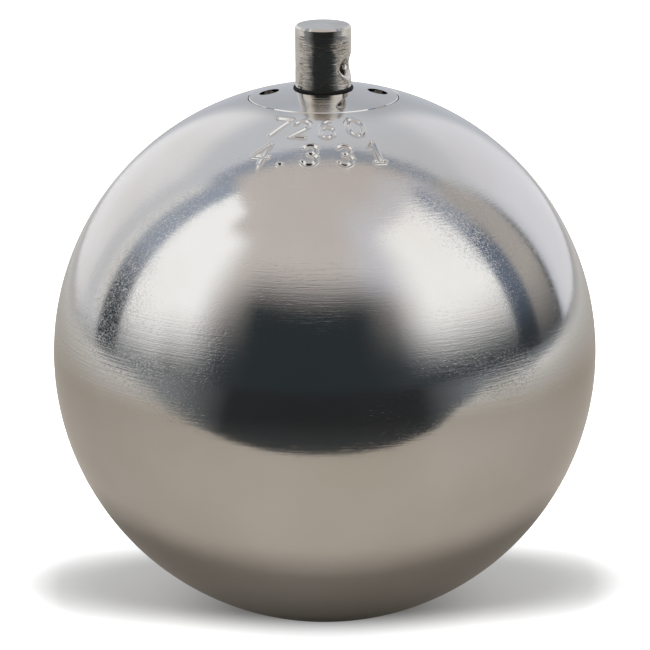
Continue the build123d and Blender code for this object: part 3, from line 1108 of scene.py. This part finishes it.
@dataclass
class Cap(CadGroup):
    """The screwed cap over the bearing and the seal in its hole."""

    finishes: dict[str, Finish] = field(
        default_factory=lambda: {
            "bearing_cap": SLOT_FINISHES[Slot.CAP],
            "dust_seal": NITRILE_RUBBER,
        }
    )


@dataclass
class Spindle(CadGroup):
    """The spindle, and the washer and ring that hold it in the bearing."""

    finishes: dict[str, Finish] = field(
        default_factory=lambda: {
            "swivel_spindle": SLOT_FINISHES[Slot.SPINDLE],
            "support_washer": GROUND_BEARING_STEEL,
            "retaining_ring": PHOSPHATED_SPRING_STEEL,
        }
    )


def smoothstep(start: float, end: float, value: np.ndarray) -> np.ndarray:
    """Rises smoothly from 0 at start to 1 at end."""
    t = np.clip((value - start) / (end - start), 0, 1)
    return t * t * (3 - 2 * t)


# A card glows though it is no lamp: it paints the reflection of a softbox, a wall or the dark room.
@dataclass(frozen=True)
class Card:
    """A card or softbox of the tent, by the directions that it fills from the ball.

    Attributes:
        colour: sRGB hex colour.
        level: Brightness, where 1 is white.
        azimuths: Its sides, in degrees to the right of the camera's side.
        elevations: Its bottom and top, in degrees.
        backs: Its front and back, in degrees from the level line towards the camera's side, so
            that 90 is the upright plane through the ball, square to that line.
        side_fade: Fade beyond each side, in degrees.
        end_fade: Fade below and above it, in degrees.
        back_fade: Fade before and behind it, in degrees.
    """

    colour: str
    level: float = 1.0
    azimuths: Point = (-200.0, 200.0)
    elevations: Point = (-100.0, 100.0)
    backs: Point = (-10.0, 190.0)
    side_fade: Point = (2.0, 2.0)
    end_fade: Point = (2.0, 2.0)
    back_fade: Point = (2.0, 2.0)

    def cover(self, azimuth: np.ndarray, elevation: np.ndarray) -> np.ndarray:
        """How much of each direction the card fills.

        Args:
            azimuth: Azimuths in degrees.
            elevation: Elevations in degrees.

        Returns:
            Values from 0 to 1.
        """
        level_line = np.cos(np.radians(azimuth)) * np.cos(np.radians(elevation))
        back = np.degrees(np.arccos(np.clip(level_line, -1, 1)))
        mask = np.ones(azimuth.shape)
        for value, (low, high), (before, after) in (
            (azimuth, self.azimuths, self.side_fade),
            (elevation, self.elevations, self.end_fade),
            (back, self.backs, self.back_fade),
        ):
            mask = mask * smoothstep(low - before, low, value)
            mask = mask * (1 - smoothstep(high, high + after, value))
        return mask


@dataclass(frozen=True)
class Softbox:
    """A lamp with a square face that lights the floor, and that no reflection shows.

    Attributes:
        name: Name of the lamp.
        azimuth: Degrees to the right of the camera's side.
        elevation: Degrees above the ball's centre.
        distance: Distance from the ball's centre, in m.
        size: Side of its face, in m.
        power: Power in W.
    """

    name: str
    azimuth: float
    elevation: float
    distance: float
    size: float
    power: float

    def hang(self, centre: float) -> None:
        """Hangs the lamp.

        Args:
            centre: Height of the ball's centre, in m.
        """
        light = bpy.data.lights.new(self.name, "AREA")
        light.shape = "SQUARE"
        light.size = self.size
        light.energy = self.power
        lamp = bpy.data.objects.new(self.name, light)
        turn, rise = math.radians(self.azimuth + FRONT), math.radians(self.elevation)
        level = math.cos(rise)
        way = Vector((level * math.cos(turn), level * math.sin(turn), math.sin(rise)))
        lamp.location = Vector((0, 0, centre)) + way * self.distance
        lamp.rotation_euler = way.to_track_quat("Z", "Y").to_euler()
        lamp.visible_camera = False
        lamp.visible_glossy = False
        bpy.context.scene.collection.objects.link(lamp)


def lay_sheet(name: str, corners: Iterable[Point], height: float, material: Material) -> Thing:
    """Lays a level sheet.

    Args:
        name: Name of the sheet.
        corners: Its corners in order, in mm.
        height: Its height above the floor that the ball stands on, in mm.
        material: Its material.

    Returns:
        The sheet.
    """
    vertices = np.array([(x, y, height) for x, y in corners])
    return make_object(name, vertices, [range(len(vertices))], material, False)


def square(half: float) -> tuple[Point, ...]:
    """Corners of a square about the origin, by half its side."""
    return ((-half, -half), (half, -half), (half, half), (-half, half))


def seen_directly(tree: Tree) -> Socket:
    """Adds a value that is 1 for rays from the camera, a mirror or a glass, and else 0.

    Args:
        tree: Tree of a material or the world.

    Returns:
        The value.
    """
    rays = add_node(tree, "LightPath").outputs
    seen = rays["Is Camera Ray"]
    for kind in ("Is Glossy Ray", "Is Transmission Ray"):
        seen = add_node(tree, "Math", {0: seen, 1: rays[kind]}, operation="ADD").outputs[0]
    return seen


@dataclass
class Studio:
    """Pale floor, soft lamps, the tent of cards round the ball, and the camera.

    The tent, the table and the dark cloth are what the polished steel mirrors. Only reflections
    see them. Tent and cloth glow though they are no lamps, as painted reflections: the tent paints
    the softboxes and the dark room, the cloth the dark room and painted lamplight. Table, cloth
    and white floor lie a hair below the ball's foot, one under the other, so that each shows past
    the edges of the one above.

    Attributes:
        centre: Height of the ball's centre, in m.
        tent_radius: Radius of the tent, in m.
        tent_step: Size of its faces, in degrees.
        tent_foot: Elevation of its lower edge, in degrees.
        sheet_heights: Heights of the table, the cloth and the floor, in mm.
        sheet_halves: Half the sides of the cloth and the floor, in mm.
        table_outline: Corners of the table round the ball, in mm.
        table_reach: Distances between which its colour fades from near to far, in m.
        cloth_reach: Distances between which the cloth's painted glow falls to half, in m.
        cloth_turns: Angles from the front between which painted lamplight brightens the cloth, in
            radians.
        cloth_glow: Its glow at those angles.
        shadow_shift: How far the middle of the shadow's painted oval lies behind the ball's foot,
            in m.
        shadow_size: Half the width and half the depth of the shadow's painted oval, in m.
        shadow_fade: Share of that size at which the white of the floor starts and is full.
        floor_white: Glow of the floor past the painted oval. The lamps bring the rest.
        world_light: Light of the world on the floor, where 1 is white.
        lamps: The lamps.
        lens: Focal length on a frame 36 mm wide, in mm.
        lens_shift: Shift across and up, in widths of the frame.
        camera_rise: Elevation of the camera from the ball's centre, in degrees.
        camera_distance: Its distance from there, in m.
        camera_roll: Its roll, in degrees.
        cards: Glowing cards of the tent that paint its reflections, each over the ones before it.
    """

    centre: float = 0.055
    tent_radius: float = 1.6
    tent_step: float = 1.0
    tent_foot: float = -60.0
    sheet_heights: tuple[float, float, float] = (-0.1, -0.2, -0.3)
    sheet_halves: Point = (3000.0, 4000.0)
    table_outline: tuple[Point, ...] = (
        (0.0, -146.0),
        (70.0, -145.0),
        (130.0, -150.0),
        (230.0, -185.0),
        (420.0, -200.0),
        (600.0, -60.0),
        (825.0, 340.0),
        (1300.0, 1600.0),
        (-1300.0, 1600.0),
        (-825.0, 340.0),
        (-580.0, -60.0),
        (-400.0, -125.0),
        (-230.0, -128.0),
        (-100.0, -140.0),
    )
    table_reach: Point = (0.22, 0.6)
    cloth_reach: Point = (0.14, 0.26)
    cloth_turns: Point = (0.66, 1.15)
    cloth_glow: Point = (0.035, 0.32)
    shadow_shift: float = 0.018
    shadow_size: Point = (0.075, 0.031)
    shadow_fade: Point = (0.6, 1.25)
    floor_white: float = 0.9
    world_light: float = 0.45
    lamps: tuple[Softbox, ...] = (
        Softbox("left_softbox", -75.0, 32.0, 0.9, 0.9, 4.0),
        Softbox("right_softbox", 72.0, 32.0, 0.9, 0.9, 4.0),
        Softbox("top_softbox", 0.0, 72.0, 0.34, 0.1, 1.3),
    )
    lens: float = 272.56
    lens_shift: Point = (0.0004, 0.0399)
    camera_rise: float = 15.5
    camera_distance: float = 1.0
    camera_roll: float = -0.3
    # Painted reflections: white cards at 1.4 paint the softboxes, which the lamps themselves don't
    # show, and dark cards paint the dark room round the camera.
    cards: tuple[Card, ...] = (
        Card("#E6DEDA"),
        Card("#EAEDF5", backs=(108.0, 190.0), back_fade=(3.0, 1.0)),
        Card("#FBFBFF", 1.15, (-162, -133), (-30, 34), side_fade=(8, 8), end_fade=(10, 14)),
        Card("#F8F8FF", 1.05, (132, 160), (-30, 33), side_fade=(12, 8), end_fade=(10, 14)),
        Card("#CCD0D8", 1.0, (-200, -170), (-30, 36), side_fade=(1, 8), end_fade=(1, 16)),
        Card("#CCD0D8", 1.0, (168, 200), (-30, 36), side_fade=(8, 1), end_fade=(1, 16)),
        Card("#AEB6C4", 1.0, elevations=(30, 90), backs=(102.5, 107.5), end_fade=(20, 1)),
        Card("#F2F2FA", 0.97, (34, 106), (40, 66), side_fade=(28, 8), end_fade=(12, 14)),
        Card("#444A50", 1.0, (-100, 94), (-60, 4), side_fade=(3, 3), end_fade=(0, 40)),
        Card("#343B3E", 1.0, (-30, 14), (-60, 27), side_fade=(20, 32), end_fade=(0, 24)),
        Card("#3A4046", 1.0, (-111.5, -96), (-20, 44), side_fade=(2, 1), end_fade=(0, 22)),
        Card("#B4BECF", 0.98, (-111.5, -96), (32, 58), side_fade=(2, 1), end_fade=(26, 6)),
        Card("#3A4046", 1.0, (89, 120), (-20, 20), side_fade=(1, 4), end_fade=(0, 30)),
        Card("#717E92", 1.0, (89, 104), (22, 56), side_fade=(1, 1), end_fade=(20, 6)),
        Card("#AAB4C8", 1.0, (89, 104), (46, 56), side_fade=(1, 1), end_fade=(12, 6)),
        Card("#FFFFFF", 1.03, (-119, -113), (4, 46), side_fade=(1, 2), end_fade=(5, 10)),
        Card("#CBC4BE", 1.0, (103, 117), (20, 46), side_fade=(1, 4), end_fade=(26, 10)),
        Card("#FFFFFF", 1.4, (-97, -78), (24, 60), side_fade=(1, 10), end_fade=(30, 4)),
        Card("#FFFFFF", 1.4, (-97, -64), (24, 51), side_fade=(1, 20), end_fade=(30, 7)),
        Card("#FFFFFF", 1.4, (54, 89), (26, 58), side_fade=(25, 1), end_fade=(26, 6)),
    )

    def tent(self) -> Thing:
        """Builds the tent as a dome whose vertices carry the light of the cards.

        Returns:
            The tent, a glowing dome of painted reflections.
        """
        azimuths = np.arange(0, 360, self.tent_step)
        elevations = np.arange(self.tent_foot, 90 + self.tent_step / 2, self.tent_step)
        azimuth, elevation = np.meshgrid(azimuths, elevations)
        from_camera = (azimuth - FRONT + 180) % 360 - 180
        light = np.zeros((*azimuth.shape, 4))
        for card in self.cards:
            cover = card.cover(from_camera, elevation)[..., None]
            light = light * (1 - cover) + np.array(linear(card.colour, card.level)) * cover
        turn, rise = np.radians(azimuth), np.radians(elevation)
        radius = self.tent_radius / MILLIMETRE
        x = radius * np.cos(rise) * np.cos(turn)
        y = radius * np.cos(rise) * np.sin(turn)
        z = radius * np.sin(rise) + self.centre / MILLIMETRE
        vertices = np.stack([x, y, z], axis=-1).reshape(-1, 3)
        rows, columns = azimuth.shape
        here = np.arange(rows - 1)[:, None] * columns + np.arange(columns)
        right = np.roll(here, -1, axis=1)
        quads = np.stack([here, here + columns, right + columns, right], axis=-1)
        quads = quads.reshape(-1, 4).tolist()
        material, tree = empty_material("tent_painted_reflections")
        shade = add_node(tree, "Attribute", attribute_name="light").outputs["Color"]
        glow = add_node(tree, "Emission", {"Color": shade, "Strength": 1.0})
        add_node(tree, "OutputMaterial", {"Surface": glow.outputs[0]})
        tent = make_object("tent", vertices, quads, material)
        attribute = tent.data.attributes.new("light", "FLOAT_COLOR", "POINT")
        attribute.data.foreach_set("color", light.reshape(-1))
        self.only_mirrored(tent)
        return tent

    @staticmethod
    def only_mirrored(card: Thing) -> None:
        """Hides a card from everything but reflections.

        Args:
            card: The card.
        """
        for kind in ("camera", "diffuse", "shadow", "transmission", "volume_scatter"):
            setattr(card, "visible_" + kind, False)

    def ground(self) -> Thing:
        """Lays a dark cloth past the edges of the table.

        Returns:
            The cloth, a glowing sheet of painted shade, brightened with painted lamplight.
        """
        material, tree = empty_material("ground_painted_shade_and_light")
        place = add_node(tree, "TexCoord").outputs["Object"]
        distance = add_node(tree, "VectorMath", {0: place}, operation="LENGTH").outputs["Value"]
        # Painted light: the glow doubles near the ball and rises towards the sides, where the lamps
        # stand.
        start, end = self.cloth_reach
        near = {"Value": distance, "From Min": start, "From Max": end, "To Min": 2.0, "To Max": 1.0}
        near = add_node(tree, "MapRange", near).outputs[0]
        axes = add_node(tree, "SeparateXYZ", {0: place}).outputs
        aside = add_node(tree, "Math", {0: axes[0]}, operation="ABSOLUTE").outputs[0]
        before = add_node(tree, "Math", {0: axes[1], 1: -1.0}, operation="MULTIPLY").outputs[0]
        turn = add_node(tree, "Math", {0: aside, 1: before}, operation="ARCTAN2").outputs[0]
        start, end = self.cloth_turns
        low, high = self.cloth_glow
        shade = {"Value": turn, "From Min": start, "From Max": end, "To Min": low, "To Max": high}
        shade = add_node(tree, "MapRange", shade).outputs[0]
        level = add_node(tree, "Math", {0: near, 1: shade}, operation="MULTIPLY").outputs[0]
        glow = add_node(tree, "Emission", {"Color": linear("#EFF7FF"), "Strength": level})
        add_node(tree, "OutputMaterial", {"Surface": glow.outputs[0]})
        corners = square(self.sheet_halves[0])
        ground = lay_sheet("ground", corners, self.sheet_heights[1], material)
        self.only_mirrored(ground)
        return ground

    def table(self) -> Thing:
        """Lays a warm grey table top round the ball.

        Returns:
            The table.
        """
        material, tree = empty_material("table_top_paper")
        place = add_node(tree, "TexCoord").outputs["Object"]
        distance = add_node(tree, "VectorMath", {0: place}, operation="LENGTH").outputs["Value"]
        start, end = self.table_reach
        far = {"Value": distance, "From Min": start, "From Max": end}
        far = add_node(tree, "MapRange", far).outputs[0]
        colours = {"Factor": far, "A": linear("#A49D94"), "B": linear("#F6F5F3")}
        colour = add_node(tree, "Mix", colours, data_type="RGBA").outputs["Result"]
        paper = add_node(tree, "BsdfDiffuse", {"Color": colour})
        add_node(tree, "OutputMaterial", {"Surface": paper.outputs[0]})
        table = lay_sheet("table", self.table_outline, self.sheet_heights[0], material)
        self.only_mirrored(table)
        return table

    def floor(self) -> Thing:
        """Lays the white floor, which keeps the shadow of the ball.

        Returns:
            The floor.
        """
        material, tree = empty_material("floor_white_paper")
        seen = seen_directly(tree)
        # Painted shadow: the lamps cast the ball's shadow, and the glow, left out only in an oval
        # behind the ball's foot, washes it out elsewhere, so the oval paints its outline.
        place = add_node(tree, "TexCoord").outputs["Object"]
        behind = {0: place, 1: (0.0, -self.shadow_shift, 0.0)}
        behind = add_node(tree, "VectorMath", behind, operation="ADD").outputs[0]
        width, depth = self.shadow_size
        oval = {0: behind, 1: (1 / width, 1 / depth, 0.0)}
        oval = add_node(tree, "VectorMath", oval, operation="MULTIPLY").outputs[0]
        distance = add_node(tree, "VectorMath", {0: oval}, operation="LENGTH").outputs["Value"]
        start, end = self.shadow_fade
        white = {"Value": distance, "From Min": start, "From Max": end, "To Max": self.floor_white}
        white = add_node(tree, "MapRange", white, interpolation_type="SMOOTHSTEP").outputs[0]
        level = add_node(tree, "Math", {0: seen, 1: white}, operation="MULTIPLY").outputs[0]
        paper = add_node(tree, "BsdfDiffuse", {"Color": linear("#EEEEEE")})
        glow = add_node(tree, "Emission", {"Color": linear("#FFFFFF"), "Strength": level})
        both = add_node(tree, "AddShader", {0: paper.outputs[0], 1: glow.outputs[0]})
        add_node(tree, "OutputMaterial", {"Surface": both.outputs[0]})
        return lay_sheet("floor", square(self.sheet_halves[1]), self.sheet_heights[2], material)

    def world(self) -> None:
        """Makes the world white behind everything, and a plain grey light for the floor."""
        world = bpy.data.worlds.new("studio")
        world.use_nodes = True
        tree = world.node_tree
        tree.nodes.clear()
        light = {"Value": seen_directly(tree), "To Min": self.world_light, "To Max": 1.0}
        level = add_node(tree, "MapRange", light).outputs[0]
        sky = add_node(tree, "Background", {"Color": linear("#FFFFFF"), "Strength": level})
        add_node(tree, "OutputWorld", {"Surface": sky.outputs[0]})
        bpy.context.scene.world = world

    def camera(self) -> None:
        """Sets the camera up in front of the ball, looking a little down on it."""
        camera = bpy.data.cameras.new("camera")
        camera.lens = self.lens
        camera.sensor_width = 36.0
        camera.shift_x, camera.shift_y = self.lens_shift
        camera.clip_end = 20.0
        thing = bpy.data.objects.new("camera", camera)
        rise = math.radians(self.camera_rise)
        way = Vector((0, -math.cos(rise), math.sin(rise)))
        thing.location = Vector((0, 0, self.centre)) + way * self.camera_distance
        thing.rotation_euler = way.to_track_quat("Z", "Y").to_euler()
        thing.rotation_euler.rotate_axis("Z", math.radians(self.camera_roll))
        bpy.context.scene.collection.objects.link(thing)
        bpy.context.scene.camera = thing

    def build(self) -> None:
        """Sets up the whole studio."""
        for thing in (self.floor(), self.ground(), self.table(), self.tent()):
            log.info("stage: %s", thing.name)
        self.world()
        for lamp in self.lamps:
            lamp.hang(self.centre)
            log.info("lamp: %s", lamp.name)
        self.camera()
        bpy.context.scene.view_settings.view_transform = "Standard"


def main() -> None:
    """Builds the hammer head and the studio."""
    logging.basicConfig(level=logging.INFO, format="%(message)s")
    for assembly in (HollowBall(), Filling(), Bearing(), Cap(), Spindle(), Studio()):
        assembly.build()


if __name__ == "__main__":
    main()
